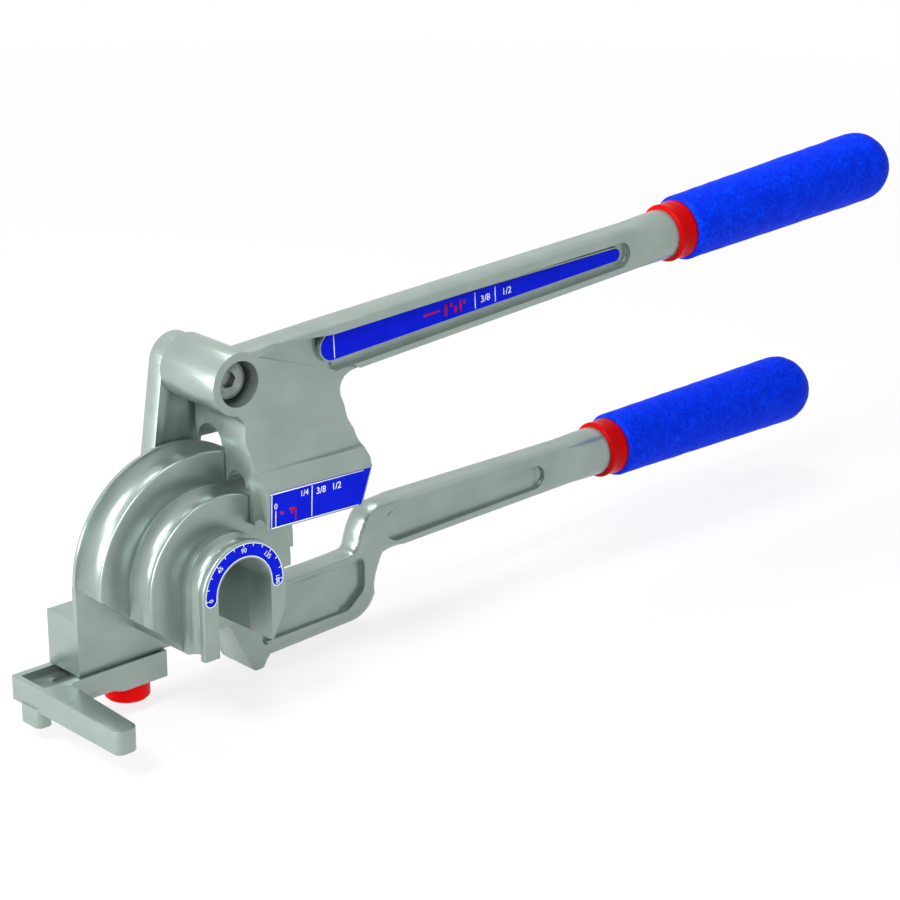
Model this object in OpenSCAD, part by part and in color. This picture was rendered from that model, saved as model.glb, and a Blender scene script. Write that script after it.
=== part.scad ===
/* [Tubes] */
// Outside diameter of the small tube
tube_d1 = 6.35; // [5:0.05:7]
// Outside diameter of the middle tube
tube_d2 = 9.53; // [8.5:0.05:10.5]
// Outside diameter of the large tube
tube_d3 = 12.7; // [11.5:0.05:13.5]
// Play of a tube in its groove, across the diameter
tube_play = 0.1; // [0.05:0.05:0.3]

/* [Bend wheels] */
// Bend radius of the small wheel, at the tube's centre line
bend_r1 = 17.4; // [16.5:0.1:19]
// Bend radius of the middle wheel
bend_r2 = 29.9; // [28.5:0.1:31.5]
// Bend radius of the large wheel
bend_r3 = 41.3; // [40:0.1:43]
// Flange in front of the small groove
front_lip = 2.6; // [2:0.1:3.5]
// Rib behind the small groove
mid_lip = 3; // [2:0.1:4]
// Thin lips beside the middle and large grooves
thin_lip = 1.5; // [1.1:0.1:2]
// Flange behind the large groove
back_lip = 2.2; // [1.6:0.1:3]
// Rounding of the wheels' outer edges
rim_edge = 0.7; // [0.3:0.1:1]
// Flare of a groove's mouth
mouth_flare = 0.35; // [0.2:0.05:0.6]
// Length of the straight legs below the bend axis
leg_h = 21.5; // [18:0.5:26]
// Half width of the arched hollow at the front
arch_r = 11.2; // [10:0.1:12]
// Narrowing of the hollow towards its back wall, on the radius
arch_draft = 0.7; // [0.2:0.1:1.2]
// Depth of the arched hollow
arch_depth = 27; // [24:0.5:29]
// Length of the large and middle wheels past the half turn
wheel_stub = 3; // [1.5:0.5:5]

/* [Foot] */
// Depth of the foot block behind the large groove
foot_t = 17.5; // [14:0.5:19]
// Depth of the foot's flat underside below the bend axis
foot_z = 32.5; // [30:0.5:36]
// Depth of the foot block's top below the bend axis
foot_top = 12.8; // [11.5:0.1:15]
// Rounding of the foot block's edges
foot_edge = 2.2; // [1:0.1:3]
// Height of the guide key under the foot
key_h = 3.1; // [2.5:0.1:4]
// Length of the guide key
key_len = 20; // [16:0.5:21]
// Rise of the cut below the wheels, in degrees from level
cut_angle = 39.5; // [36:0.5:43]

/* [Form handle] */
// Thickness of the form handle, front to back
bar_w = 12.8; // [11:0.1:14]
// Depth of the handle's axis below the bend axis
bar_z = 16.6; // [15:0.1:18]
// Half height of the handle's root, beside the wheels
root_r = 13.6; // [13:0.1:14.2]
// Depth of the root's axis below the bend axis
root_z = 37.8; // [37:0.1:38.6]
// Distance of the root's outer corner from the bend axis
root_x = 81.3; // [79:0.1:83]
// Distance of the neck between root and handle from the bend axis
neck_x = 89.4; // [88.5:0.1:91]
// Half width of the neck
neck_r = 5.4; // [5:0.1:6.2]
// Distance of the spur under the root from the bend axis
spur_x = 35.6; // [34.5:0.1:37]
// Depth of the spur's tip below the bend axis
spur_z = 53.4; // [52.5:0.1:55]
// Half height of the handle where it begins
bar_r1 = 9.8; // [9:0.1:10.5]
// Distance of the handle's start from the bend axis
bar_x1 = 97; // [95:0.5:100]
// Half height of the handle at its far end
bar_r2 = 8.2; // [7.5:0.1:9]
// Distance from the bend axis to the end of the form handle's sleeve
form_reach = 211; // [205:1:220]
// Width of the raised border round the recessed webs
web_border = 3.6; // [3:0.1:4.5]
// Depth of the recessed webs
web_depth = 2.2; // [1:0.1:3]

/* [Link] */
// Distance between the bend axis and the shoe's pivot
link_len = 67.6; // [66:0.1:70]
// Lean of the link to the right at rest, in degrees
link_lean = 8.6; // [6:0.2:10]
// Half width of the link
link_r = 9.9; // [9.5:0.1:10.5]
// Thickness of the link
link_t = 7.5; // [6:0.1:9]
// Diameter of the two pivot bolts
pivot_d = 10; // [8:0.5:11]
// Thickness of the thrust washer between the form and the link
thrust_t = 1; // [0.6:0.1:1.6]

/* [Shoe handle] */
// Tilt of the shoe handle's axis above level, in degrees
arm_tilt = 2.9; // [1:0.1:5]
// Tilt of the shoe's grooves below level, in degrees
shoe_tilt = 2.2; // [1:0.1:4]
// Radius of the pivot boss
boss_r = 11; // [10.5:0.1:12]
// Distance of the boss's front face behind the front wheel face
boss_front = 13; // [12.5:0.1:14]
// Radius of the counterbore in the boss
bore_r = 8; // [7.6:0.1:8.4]
// Depth of the counterbore
bore_depth = 9; // [7:0.5:11]
// Distance of the shoe's front face behind the front wheel face
block_front = 2.2; // [1:0.1:3]
// Height of the shoe's front face
block_h = 14.2; // [13:0.1:16]
// Length of the shoe along its grooves
shoe_len = 45; // [40:0.5:48]
// Distance of the shoe's left end from the bend axis
shoe_x = 12; // [11:0.1:14]
// Gap between the tubes' centre line in the shoe and on the wheels
shoe_lift = 0.1; // [0.05:0.05:0.4]
// Wall behind the shoe's large groove
shoe_wall = 1.3; // [1:0.1:1.6]
// Thickness of the shoe handle, front to back
arm_w = 12.8; // [12:0.1:14]
// Depth of the shoe handle's recessed web behind the plate's front face
arm_web = 1.4; // [0.8:0.1:2]
// Height of the pad that carries the handle scale
pad_t = 0.8; // [0.5:0.1:1]
// Drop of the shoe handle's far end below the line of the boss
arm_drop = 0.8; // [0:0.1:1.5]
// Half height of the shoe handle beside the boss
arm_r1 = 10.2; // [9.5:0.1:10.6]
// Half height of the shoe handle at its far end
arm_r2 = 8.4; // [7.5:0.1:9]
// Distance from the shoe's pivot to the end of its sleeve
shoe_reach = 206.4; // [200:1:215]

/* [Grips] */
// Radius of the handles' round ends
stem_r = 9.4; // [9:0.1:9.8]
// Radius of the spigots inside the grips
spigot_r = 7.5; // [6.5:0.1:8]
// Radius of the red sleeves' collars
collar_r = 11; // [10.5:0.1:11.5]
// Length of a collar that shows before the grip
collar_len = 8.4; // [6:0.2:12]
// Radius of a grip where it begins
grip_r1 = 12.5; // [12:0.1:12.9]
// Radius of a grip at its domed tip
grip_r2 = 13.8; // [13:0.1:13.9]
// Length of the form handle's grip with its dome
form_grip_len = 111; // [95:1:125]
// Length of the shoe handle's grip with its dome
shoe_grip_len = 115; // [95:1:125]
// Wall of the sleeve under the grip
sleeve_t = 1.6; // [1:0.1:2]
// Distance between the two grips' axes, front to back
grip_pitch = 28.5; // [28.2:0.1:30]

/* [Hook] */
// Height of the hook's bars
hook_h = 8.3; // [7.5:0.1:9.5]
// Distance of the hook's left side from the bend axis
hook_left = 57.3; // [56:0.1:60]
// Distance of the hook's right end from the bend axis
hook_right = 5.5; // [4:0.1:6.5]
// Reach of the hook's arm in front of the front wheel face
hook_reach = 4.6; // [3:0.1:7]
// Width of the hook's arm at its root
hook_w1 = 11; // [10:0.1:12]
// Width of the hook's arm at its tip
hook_w2 = 8.6; // [8:0.1:9.5]
// Depth of the guide channel in the hook
chan_depth = 3; // [2.5:0.1:3.6]
// Wall beside the guide channel
chan_wall = 2.6; // [2:0.1:3.2]
// Travel of the hook towards the wheels
hook_in = 27.3; // [24:0.1:27.3]
// Travel of the hook away from the wheels
hook_out = 1.3; // [0.5:0.1:2]
// Diameter of the knob's stud
stud_d = 5; // [4:0.5:6]
// Distance of the stud from the bend axis
stud_x = 16; // [15.5:0.1:17]
// Radius of the knob
knob_r = 8; // [7:0.1:9]
// Height of the knob
knob_h = 6; // [5:0.1:7]
// Thickness of the pad round the stud
stud_pad = 1.5; // [1:0.1:2]

/* [Clearances] */
// Gap between faces that slide past each other
slide_play = 0.3; // [0.2:0.05:0.4]
// Radial gap between a pivot bolt and its bush
turn_play = 0.05; // [0.03:0.01:0.09]
// Radial gap of a pressed or threaded seat
seat_play = 0.02; // [0.01:0.01:0.04]
// Gap between the shoe and the form handle at the end of a bend
pass_gap = 0.5; // [0.3:0.1:0.8]

/* [Hidden] */
$fn = 72;

// Overrun of a cut past the face that it opens
over = 1;
// Facets of the small balls and discs that are blended
blend_fn = 32;
// Radius at which straight sides meet the round ends of a bar, as a share, so that they cross cleanly
inset_share = 0.997;

// Levels from front to back through the three wheels
y_tube1 = front_lip + tube_d1 / 2;
y_land1 = front_lip + tube_d1 + mid_lip;
y_tube2 = y_land1 + thin_lip + tube_d2 / 2;
y_land2 = y_land1 + thin_lip * 2 + tube_d2;
y_tube3 = y_land2 + thin_lip + tube_d3 / 2;
y_flange = y_land2 + thin_lip + tube_d3;
y_back = y_flange + back_lip;
y_foot = y_flange + foot_t;
link_y1 = y_back + thrust_t + slide_play;
link_y2 = link_y1 + link_t;
boss_back = link_y1 - slide_play;
shoe_back = y_flange + shoe_wall;
bar_front = shoe_back + pass_gap;
bar_y = bar_front + bar_w / 2;
arm_y = bar_y - grip_pitch;

// Planes where the two castings are divided: just in front of the wheels' steps, and across the shoe handle
seam1 = y_land1 - slide_play / 2;
seam2 = y_land2 - slide_play / 2;
arm_seam = boss_r * 5;

// Place of the shoe's pivot at rest
boss_x = link_len * sin(link_lean);
boss_z = link_len * cos(link_lean);

// Foot, handle and their spur
cut_x = bend_r1 + rim_edge;
notch_x = root_z - root_r - foot_edge / 2;
root_r2 = root_r * 0.965;
root_z2 = root_z - root_r / 13;
root_start = spur_x + root_r / 2;
web_left = bend_r3 - web_border;
bar_edge = bar_w / 4;
arm_edge = arm_w / 4;
stem_len = collar_len;

// Pivot bolts
pivot_r = pivot_d / 2;
bush_r = pivot_r + turn_play;
bush_out = bush_r + pivot_d / 6;
thread_r = pivot_r * 0.8;
head_r = pivot_d * 0.85;
head_h = pivot_d / 2;
nut_r = pivot_d * 0.85;
nut_h = pivot_d * 0.6;
washer_r = pivot_d * 0.98;
washer_t = pivot_d * 0.15;
cap_r = bore_r - pivot_d * 0.18;
cap_h = pivot_d * 0.35;

// Labels
label_t = 0.3;
label_edge = 0.6;
label_gap = 0.1;
label_sink = 0.05;

// Shoe
shoe_end_r = rim_edge;
// Shoe's outline from its left end, as shares of its length, of the pivot's height and of the boss
shoe_outline_shares = [[-0.2, 0.92, 0], [0, 0.79, 0.45], [0, 0, 0], [0.81, 0, 0], [1.05, 0.47, 0.12],
    [1, 0.63, 0.8], [0.965, 0.725, 0.6], [0.9, 0.85, 0.5], [1.12, 0.9, 0], [1, 1, 0], [-0.04, 1, 0]];
// Crease between the plate and the web, along the handle's axis, as shares of the boss
crease_shares = [[0.43, 0.98], [3.87, -1.66]];
web_floor = boss_front + arm_web;
web_r1 = arm_r1 - web_border;
web_r2 = arm_r2 - web_border;
web_end = shoe_reach - stem_r * 3;
label_x1 = boss_r * 3.7;
label_z1 = arm_r1 * 0.18;
label_x2 = web_end - web_border / 2;
label_r1 = web_r1 * 0.73;
label_r2 = web_r2 * 0.5;

// Hook and knob
hook_top = foot_z + slide_play;
hook_low = hook_top + hook_h;
hook_front = y_flange - label_edge * 2;
hook_back = y_foot + slide_play;
chan_front = hook_front + chan_wall;
key_front = chan_front + slide_play;
key_right = stud_x - key_len / 2;
key_back = hook_back - chan_wall - slide_play;
stud_y = (key_front + key_back) / 2;
slot_r = stud_d / 2 + slide_play;
pad_h = knob_h;
insert_r = stud_d * 0.8;
insert_h = stud_d * 2;

// A slab between two depths, from an outline drawn as seen from the front
module slab(y1, y2) {
    translate([0, y2, 0]) rotate([90, 0, 0]) linear_extrude(height = y2 - y1) children();
}

// A round bar from front to back
module rod_y(x, z, r, y1, y2) {
    translate([x, y2, z]) rotate([90, 0, 0]) cylinder(r = r, h = y2 - y1);
}

// A round bar from left to right
module rod_x(x1, x2, y, z, r) {
    translate([x1, y, z]) rotate([0, 90, 0]) cylinder(r = r, h = x2 - x1);
}

// An upright round bar
module rod_z(x, y, z1, z2, r) {
    translate([x, y, z1]) cylinder(r = r, h = z2 - z1);
}

// A half turn about the bend axis, of a profile drawn as radius by depth
module turned() {
    rotate([90, 0, 0]) rotate_extrude(angle = 180) mirror([0, 1, 0]) children();
}

// A straight leg of the same profile, on the right or, mirrored, on the left
module leg(h) {
    translate([0, 0, -h]) linear_extrude(height = h) children();
}

// Two circles with their outer tangents: a straight bar with round ends
module stroke(a, ra, b, rb) {
    dx = b[0] - a[0];
    dy = b[1] - a[1];
    d = sqrt(dx * dx + dy * dy);
    t = acos((ra - rb) / d);
    g = atan2(dy, dx);
    p = ra * inset_share;
    q = rb * inset_share;
    translate(a) circle(r = ra);
    translate(b) circle(r = rb);
    polygon([[a[0] + p * cos(g + t), a[1] + p * sin(g + t)],
        [a[0] + p * cos(g - t), a[1] + p * sin(g - t)],
        [b[0] + q * cos(g - t), b[1] + q * sin(g - t)],
        [b[0] + q * cos(g + t), b[1] + q * sin(g + t)]]);
}

// Corner points of an outline, each rounded to its own radius, in n steps
function turn_sign(p, q, s) = (q[0] - p[0]) * (s[1] - q[1]) - (q[1] - p[1]) * (s[0] - q[0]) > 0 ? 1 : -1;
function unit2(v) = v / norm(v);
function arc_pts(p, q, s, r, n) =
    let (u = unit2(p - q), v = unit2(s - q), half = acos(u * v) / 2, w = unit2(u + v),
        c = q + w * r / sin(half), k = turn_sign(p, q, s), g = atan2(-w[1], -w[0]), span = 90 - half)
    [for (i = [0 : n]) c + r * [cos(g + k * span * (i / n * 2 - 1)), sin(g + k * span * (i / n * 2 - 1))]];
function rounded(pts, n = 8) =
    [for (i = [0 : len(pts) - 1])
        let (m = len(pts), p = pts[(i + m - 1) % m], q = pts[i], s = pts[(i + 1) % m])
        each (q[2] > 0 ? arc_pts([p[0], p[1]], [q[0], q[1]], [s[0], s[1]], q[2], n) : [[q[0], q[1]]])];

// A disc lying front to back with a rounded rim
module soft_disc(x, z, r, y, w, e) {
    translate([x, y + w / 2, z]) rotate([90, 0, 0]) {
        cylinder(r = r - e, h = w, $fn = blend_fn);
        translate([0, 0, e]) cylinder(r = r, h = w - e * 2, $fn = blend_fn);
        translate([0, 0, e / 3]) cylinder(r = r - e / 4, h = w - e * 2 / 3, $fn = blend_fn);
    }
}

// The web of a fillet of radius r, in a corner whose sides leave at angles g1 and g2
module fillet(c, g1, g2, r) {
    half = (g2 - g1) / 2;
    side = r / tan(half);
    mid = (g1 + g2) / 2;
    back = r / 8;
    difference() {
        polygon([[c[0] - back * cos(mid), c[1] - back * sin(mid)],
            [c[0] + side * cos(g1), c[1] + side * sin(g1)], [c[0] + side * cos(mid) / 2, c[1] + side * sin(mid) / 2],
            [c[0] + side * cos(g2), c[1] + side * sin(g2)]]);
        translate([c[0] + r / sin(half) * cos(mid), c[1] + r / sin(half) * sin(mid)]) circle(r = r);
    }
}

// Profile of the three wheels, as radius by depth
module wheel_block(r, y1, y2, e1, e2) {
    translate([0, y1]) square([r - rim_edge, y2 - y1]);
    translate([0, y1 + e1]) square([r, y2 - y1 - e1 - e2]);
    if (e1 > 0) translate([r - e1, y1 + e1]) circle(r = e1);
    if (e2 > 0) translate([r - e2, y2 - e2]) circle(r = e2);
}
module groove(r, y, d) {
    translate([r, y]) circle(r = (d + tube_play) / 2);
    translate([r + mouth_flare * 2.5, y]) circle(r = (d + tube_play) / 2 + mouth_flare);
}
module wheel_profile() {
    difference() {
        union() {
            wheel_block(bend_r1, 0, y_land1 + over, rim_edge, 0);
            wheel_block(bend_r2, y_land1, y_land2 + over, rim_edge, 0);
            wheel_block(bend_r3, y_land2, y_back, rim_edge, rim_edge);
        }
        groove(bend_r1, y_tube1, tube_d1);
        groove(bend_r2, y_tube2, tube_d2);
        groove(bend_r3, y_tube3, tube_d3);
    }
}

// The right leg's outline, drawn in to a blunt point at its foot
module right_leg_outline() {
    polygon(rounded([[0, 0, 0], [0, -leg_h, 0], [arch_r + rim_edge, -leg_h, rim_edge],
        [bend_r1, -leg_h * 0.52, leg_h * 0.7], [bend_r1, 0, 0]]));
}

// The foot and back plate, as seen from the front
module plate_outline(top) {
    polygon(rounded([[-bend_r3, top, 0], [-bend_r3, -foot_z, 0],
        [notch_x, -foot_z, foot_edge * 2], [spur_x - foot_edge, -spur_z, foot_edge],
        [spur_x + foot_edge, -spur_z, foot_edge / 2], [spur_x + foot_edge * 2, -root_z - root_r + bar_edge / 2, foot_edge],
        [root_start + bar_edge, -root_z - root_r + bar_edge, 0], [root_start, -root_z + root_r, 0],
        [bend_r3, -root_z + root_r, foot_edge], [bend_r1 + root_r, top, foot_edge]]));
}

module form_arm() {
    z1 = bar_z + label_edge / 2;
    x2 = form_reach - stem_r * 2;
    hull() {
        soft_disc(root_start, -root_z, root_r, bar_y, bar_w, bar_edge);
        soft_disc(root_x, -root_z2, root_r2, bar_y, bar_w, bar_edge);
    }
    hull() {
        soft_disc(neck_x, -root_z + neck_r, neck_r, bar_y, bar_w, bar_edge * 0.8);
        soft_disc(neck_x + neck_r * 0.6, -bar_z - neck_r * 0.45, neck_r * 1.3, bar_y, bar_w, bar_edge);
    }
    hull() {
        soft_disc(bar_x1, -z1, bar_r1, bar_y, bar_w, bar_edge);
        soft_disc(x2, -bar_z, bar_r2, bar_y, bar_w, bar_edge);
    }
    hull() {
        soft_disc(x2, -bar_z, bar_r2, bar_y, bar_w, bar_edge);
        rod_x(form_reach - stem_r, form_reach - stem_r + label_edge, bar_y, -bar_z, stem_r);
    }
    slab(bar_front + bar_edge / 2, bar_front + bar_w - bar_edge / 2) {
        fillet([neck_x + neck_r * 1.48, -z1 - bar_r1], -111, 1, neck_r * 1.2);
        fillet([neck_x - neck_r * 0.83, -root_z2 + root_r2 - label_edge], 84, 180, neck_r);
    }
    rod_x(form_reach - stem_r, form_reach + stem_len, bar_y, -bar_z, stem_r);
    rod_x(form_reach, form_reach + form_grip_len - grip_r2, bar_y, -bar_z, spigot_r);
}

module form_webs() {
    w = web_border;
    right = root_x + root_r2 - w * 2;
    top = -root_z + root_r - w * 0.7;
    low = -root_z - root_r + w * 1.8;
    slab(bar_front - over * 4, bar_front + web_depth) {
        polygon(rounded([[web_left, top, w / 2], [web_left, low, w / 2], [right - w * 2.2, low + w / 4, w * 1.5],
            [right, -root_z, w * 1.5], [right, top + w / 3, w / 2]]));
        stroke([bar_x1 + bar_r1 * 0.7, -bar_z - label_edge / 3], bar_r1 - w, [form_reach - stem_r * 4, -bar_z], bar_r2 - w);
    }
}

module arch_hollow() {
    mouth = arch_r + arch_draft * over / arch_depth;
    floor_r = arch_r - arch_draft;
    translate([0, arch_depth, 0]) rotate([90, 0, 0]) cylinder(r1 = floor_r, r2 = mouth, h = arch_depth + over);
    translate([0, 0, -leg_h - over]) linear_extrude(height = leg_h + over)
        polygon([[-mouth, -over], [-floor_r, arch_depth], [floor_r, arch_depth], [mouth, -over]]);
}

// The three wheels and their straight legs
module wheel_body() {
    turned() wheel_profile();
    difference() {
        mirror([1, 0, 0]) leg(leg_h) wheel_profile();
        slab(-over, y_flange) polygon([[-bend_r3 - over, 0], [-bend_r3 - over, -foot_z],
            [-cut_x + over, -foot_z], [-cut_x + over, -leg_h - over],
            [-cut_x, -(bend_r3 - cut_x) * tan(cut_angle)], [-bend_r3, 0]]);
    }
    difference() {
        slab(0, y_back) right_leg_outline();
        rod_z(bend_r1, y_tube1, -leg_h - over, over, (tube_d1 + tube_play) / 2);
    }
    leg(wheel_stub) wheel_profile();
}

// All that lies between two depths, round the wheels
module depths(y1, y2) {
    slab(y1, y2) translate([-bend_r3 * 2, -bend_r3 * 2]) square(bend_r3 * 4);
}

// The part of the wheels between two depths, less the arch and what else is given
module wheel_part(y1, y2) {
    color("#b4bdb6") difference() {
        intersection() {
            wheel_body();
            depths(y1, y2);
        }
        arch_hollow();
        children();
    }
}
module wheel_small() {
    wheel_part(-over, seam1) slab(-over, label_t + label_sink) degree_outline(label_gap);
}
module wheel_middle() {
    wheel_part(seam1, seam2);
}
module form_casting() {
    color("#b4bdb6") difference() {
        union() {
            wheel_body();
            slab(y_flange, y_back) intersection() {
                plate_outline(0);
                union() {
                    circle(r = bend_r3);
                    translate([-bend_r3, -spur_z]) square([bend_r3 * 2 - rim_edge, spur_z]);
                }
            }
            slab(bar_front, y_foot) plate_outline(-foot_top);
            translate([-key_right - key_len, key_front, -foot_z - key_h])
                cube([key_len, key_back - key_front, key_h + over]);
            form_arm();
        }
        depths(-over, seam2);
        arch_hollow();
        form_webs();
        rod_y(0, 0, pivot_r + seat_play, arch_depth - over, y_back + over);
        rod_z(-stud_x, stud_y, -foot_z - key_h - over, -foot_z - key_h + insert_h + over, insert_r + seat_play);
    }
}

// The degree scale's outline: half a ring with round ends, grown by the gap round the label
module degree_outline(gap) {
    r1 = arch_r + label_edge - gap;
    r2 = bend_r1 - rim_edge - label_edge / 2 + gap;
    difference() {
        circle(r = r2);
        circle(r = r1);
        translate([-r2 - over, -r2 - over]) square([(r2 + over) * 2, r2 + over]);
    }
    translate([(r1 + r2) / 2, 0]) circle(r = (r2 - r1) / 2 * inset_share);
    translate([-(r1 + r2) / 2, 0]) circle(r = (r2 - r1) / 2 * inset_share);
}
module degree_scale() {
    color("#0018d8") slab(label_sink, label_t + label_sink) degree_outline(0);
}

// Parts shared by the two grips, drawn along X from the collar's front ring
module sleeve(len) {
    difference() {
        union() {
            rod_x(0, collar_len, 0, 0, collar_r);
            rod_x(collar_len, len - grip_r2, 0, 0, stem_r + sleeve_t);
        }
        rod_x(-over, stem_len + slide_play, 0, 0, stem_r + seat_play);
        rod_x(0, len, 0, 0, spigot_r + seat_play);
    }
}
module grip(len) {
    inside = len - grip_r2;
    translate([collar_len, 0, 0]) rotate([0, 90, 0]) rotate_extrude() difference() {
        union() {
            polygon([[0, 0], [grip_r1 - rim_edge, 0], [grip_r1, rim_edge], [grip_r2, inside], [0, inside]]);
            intersection() {
                translate([0, inside]) circle(r = grip_r2);
                translate([0, inside]) square([grip_r2, grip_r2 + over]);
            }
        }
        translate([0, -over]) square([stem_r + sleeve_t + seat_play, inside - collar_len + seat_play + over]);
    }
}

module form_sleeve() {
    color("#d8000c") translate([form_reach, bar_y, -bar_z]) sleeve(form_grip_len);
}
module form_grip() {
    color("#0a2fb4") translate([form_reach, bar_y, -bar_z]) grip(form_grip_len);
}

// A hexagonal head or nut lying front to back
module hex_y(x, z, r, y1, y2) {
    translate([x, y2, z]) rotate([90, 0, 0]) cylinder(r = r, h = y2 - y1, $fn = 6);
}

module pivot_bolt() {
    shoulder = link_y2 + slide_play;
    color("#9a9fa0") {
        hex_y(0, 0, head_r, arch_depth - head_h, arch_depth);
        rod_y(0, 0, pivot_r, arch_depth, shoulder);
        rod_y(0, 0, thread_r, shoulder, shoulder + washer_t + nut_h + rim_edge * 2);
    }
}
module thrust_washer() {
    color("#a9803c") difference() {
        rod_y(0, 0, washer_r, y_back, y_back + thrust_t);
        rod_y(0, 0, pivot_r + seat_play, y_back - over, y_back + thrust_t + over);
    }
}
module pivot_washer() {
    y1 = link_y2 + slide_play;
    color("#9a9fa0") difference() {
        rod_y(0, 0, washer_r, y1, y1 + washer_t);
        rod_y(0, 0, thread_r + seat_play, y1 - over, y1 + washer_t + over);
    }
}
module pivot_nut() {
    y1 = link_y2 + slide_play + washer_t;
    color("#9a9fa0") difference() {
        hex_y(0, 0, nut_r, y1, y1 + nut_h);
        rod_y(0, 0, thread_r + seat_play, y1 - over, y1 + nut_h + over);
    }
}
module stud_insert() {
    z1 = -foot_z - key_h;
    color("#b08d4a") difference() {
        rod_z(-stud_x, stud_y, z1, z1 + insert_h, insert_r);
        rod_z(-stud_x, stud_y, z1 - over, z1 + insert_h + over, stud_d / 2 + turn_play);
    }
}

module link_bar() {
    color("#aab4ad") difference() {
        slab(link_y1, link_y2) stroke([0, 0], link_r, [boss_x, boss_z], link_r);
        rod_y(0, 0, bush_out + seat_play, link_y1 - over, link_y2 + over);
        rod_y(boss_x, boss_z, thread_r + seat_play, link_y1 - over, link_y2 + over);
    }
}
module link_bush() {
    color("#a9803c") difference() {
        rod_y(0, 0, bush_out, link_y1, link_y2);
        rod_y(0, 0, bush_r, link_y1 - over, link_y2 + over);
    }
}
module shoe_bolt() {
    seat = boss_front + bore_depth - slide_play;
    color("#9a9fa0") difference() {
        union() {
            rod_y(boss_x, boss_z, cap_r, seat - cap_h, seat);
            rod_y(boss_x, boss_z, pivot_r, seat, link_y1);
            rod_y(boss_x, boss_z, thread_r, link_y1, link_y2 - label_edge);
        }
        translate([boss_x, seat - cap_h - cap_r * 2 + cap_h / 3, boss_z]) sphere(r = cap_r * 2);
        hex_y(boss_x, boss_z, cap_r / 2, seat - cap_h - over, seat - cap_h / 4);
    }
}

// Puts what is drawn along X from the shoe's pivot in line with the shoe handle
module on_arm() {
    translate([boss_x, 0, boss_z]) rotate([0, -arm_tilt, 0]) children();
}
// Puts what is drawn along X from the bend axis in line with the shoe's grooves
module on_shoe() {
    rotate([0, shoe_tilt, 0]) children();
}

module shoe_arm() {
    x1 = label_x1;
    x2 = shoe_reach - stem_r * 2;
    back = arm_y + arm_w / 2;
    front = boss_front - label_edge / 2;
    hull() {
        soft_disc(0, 0, arm_r1, (front + back) / 2, back - front, arm_edge);
        soft_disc(x1, 0, arm_r1 * 0.98, arm_y, arm_w, arm_edge);
    }
    hull() {
        soft_disc(x1, 0, arm_r1 * 0.98, arm_y, arm_w, arm_edge);
        soft_disc(x2, -arm_drop, arm_r2, arm_y, arm_w, arm_edge);
    }
    hull() {
        soft_disc(x2, -arm_drop, arm_r2, arm_y, arm_w, arm_edge);
        rod_x(shoe_reach - stem_r, shoe_reach - stem_r + label_edge, arm_y, -arm_drop, stem_r);
    }
    rod_x(shoe_reach - stem_r, shoe_reach + stem_len, arm_y, -arm_drop, stem_r);
    rod_x(shoe_reach, shoe_reach + shoe_grip_len - grip_r2, arm_y, -arm_drop, spigot_r);
}

// The web recessed into the shoe handle, with its slope up to the plate along the crease
module shoe_web() {
    c1 = crease_shares[0] * boss_r;
    c2 = crease_shares[1] * boss_r;
    x1 = label_x1;
    g = atan2(c2[1] - c1[1], c2[0] - c1[0]);
    front = arm_y - arm_w;
    slab(front, web_floor) {
        stroke([x1, 0], web_r1, [web_end, -arm_drop], web_r2);
        polygon([[c1[0] + web_border, c1[1] - web_border], [x1, web_r1], [x1, -web_r1]]);
    }
    slab(front, boss_front) polygon([[-boss_r * 2, boss_r * 2], [-boss_r * 2, c2[1]], c2, c1, [c1[0], boss_r * 2]]);
    intersection() {
        slab(front, web_floor + arm_web * 3) polygon([c1, [x1, web_r1], [x1, -web_r1], [x1 * 1.2, -web_r1],
            [x1 * 1.6, c2[1]], c2]);
        translate([c1[0], boss_front, c1[1]]) rotate([0, -g, 0]) rotate([-12, 0, 0])
            translate([-boss_r, -boss_r, -boss_r]) cube([boss_r * 8, boss_r, boss_r * 5]);
    }
}

// The shoe's section across its grooves, as depth by height along the wheels' radius
shoe_r1 = bend_r1 + shoe_lift;
shoe_r2 = bend_r2 + shoe_lift;
shoe_r3 = bend_r3 + shoe_lift;
shoe_step1 = y_land1 - slide_play;
shoe_step2 = y_land2 - slide_play;
shoe_top = boss_z - boss_r * 0.6;
flute_z = shoe_r1 + block_h;
plate_z = flute_z + block_h * 0.72;
slope_y = boss_front + label_edge;
slope_z = flute_z + block_h * (slope_y - block_front - label_edge) / (boss_front - block_front - label_edge);
module shoe_section() {
    difference() {
        polygon([[block_front, shoe_r1], [shoe_step1, shoe_r1], [shoe_step1, shoe_r2], [shoe_step2, shoe_r2],
            [shoe_step2, shoe_r3], [shoe_back, shoe_r3], [shoe_back, shoe_top], [slope_y, shoe_top],
            [slope_y, slope_z], [block_front + label_edge, flute_z], [block_front, flute_z - label_edge]]);
        translate([block_front + block_h * 0.15, flute_z + block_h * 0.75]) circle(r = block_h * 0.42);
        translate([y_tube1, shoe_r1]) circle(r = (tube_d1 + tube_play) / 2);
        translate([y_tube2, shoe_r2]) circle(r = (tube_d2 + tube_play) / 2);
        translate([y_tube3, shoe_r3]) circle(r = (tube_d3 + tube_play) / 2);
    }
}

// The shoe's outline as seen from the front, without the handle
module shoe_outline() {
    polygon(rounded([for (p = shoe_outline_shares) [shoe_x + p[0] * shoe_len, p[1] * boss_z, p[2] * boss_r]]));
}

// Raised pad that the handle's label lies on
module label_pad() {
    on_arm() slab(web_floor - pad_t, web_floor + over)
        stroke([label_x1, label_z1], label_r1 + label_edge, [label_x2, -arm_drop / 2], label_r2 + label_edge);
}

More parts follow.
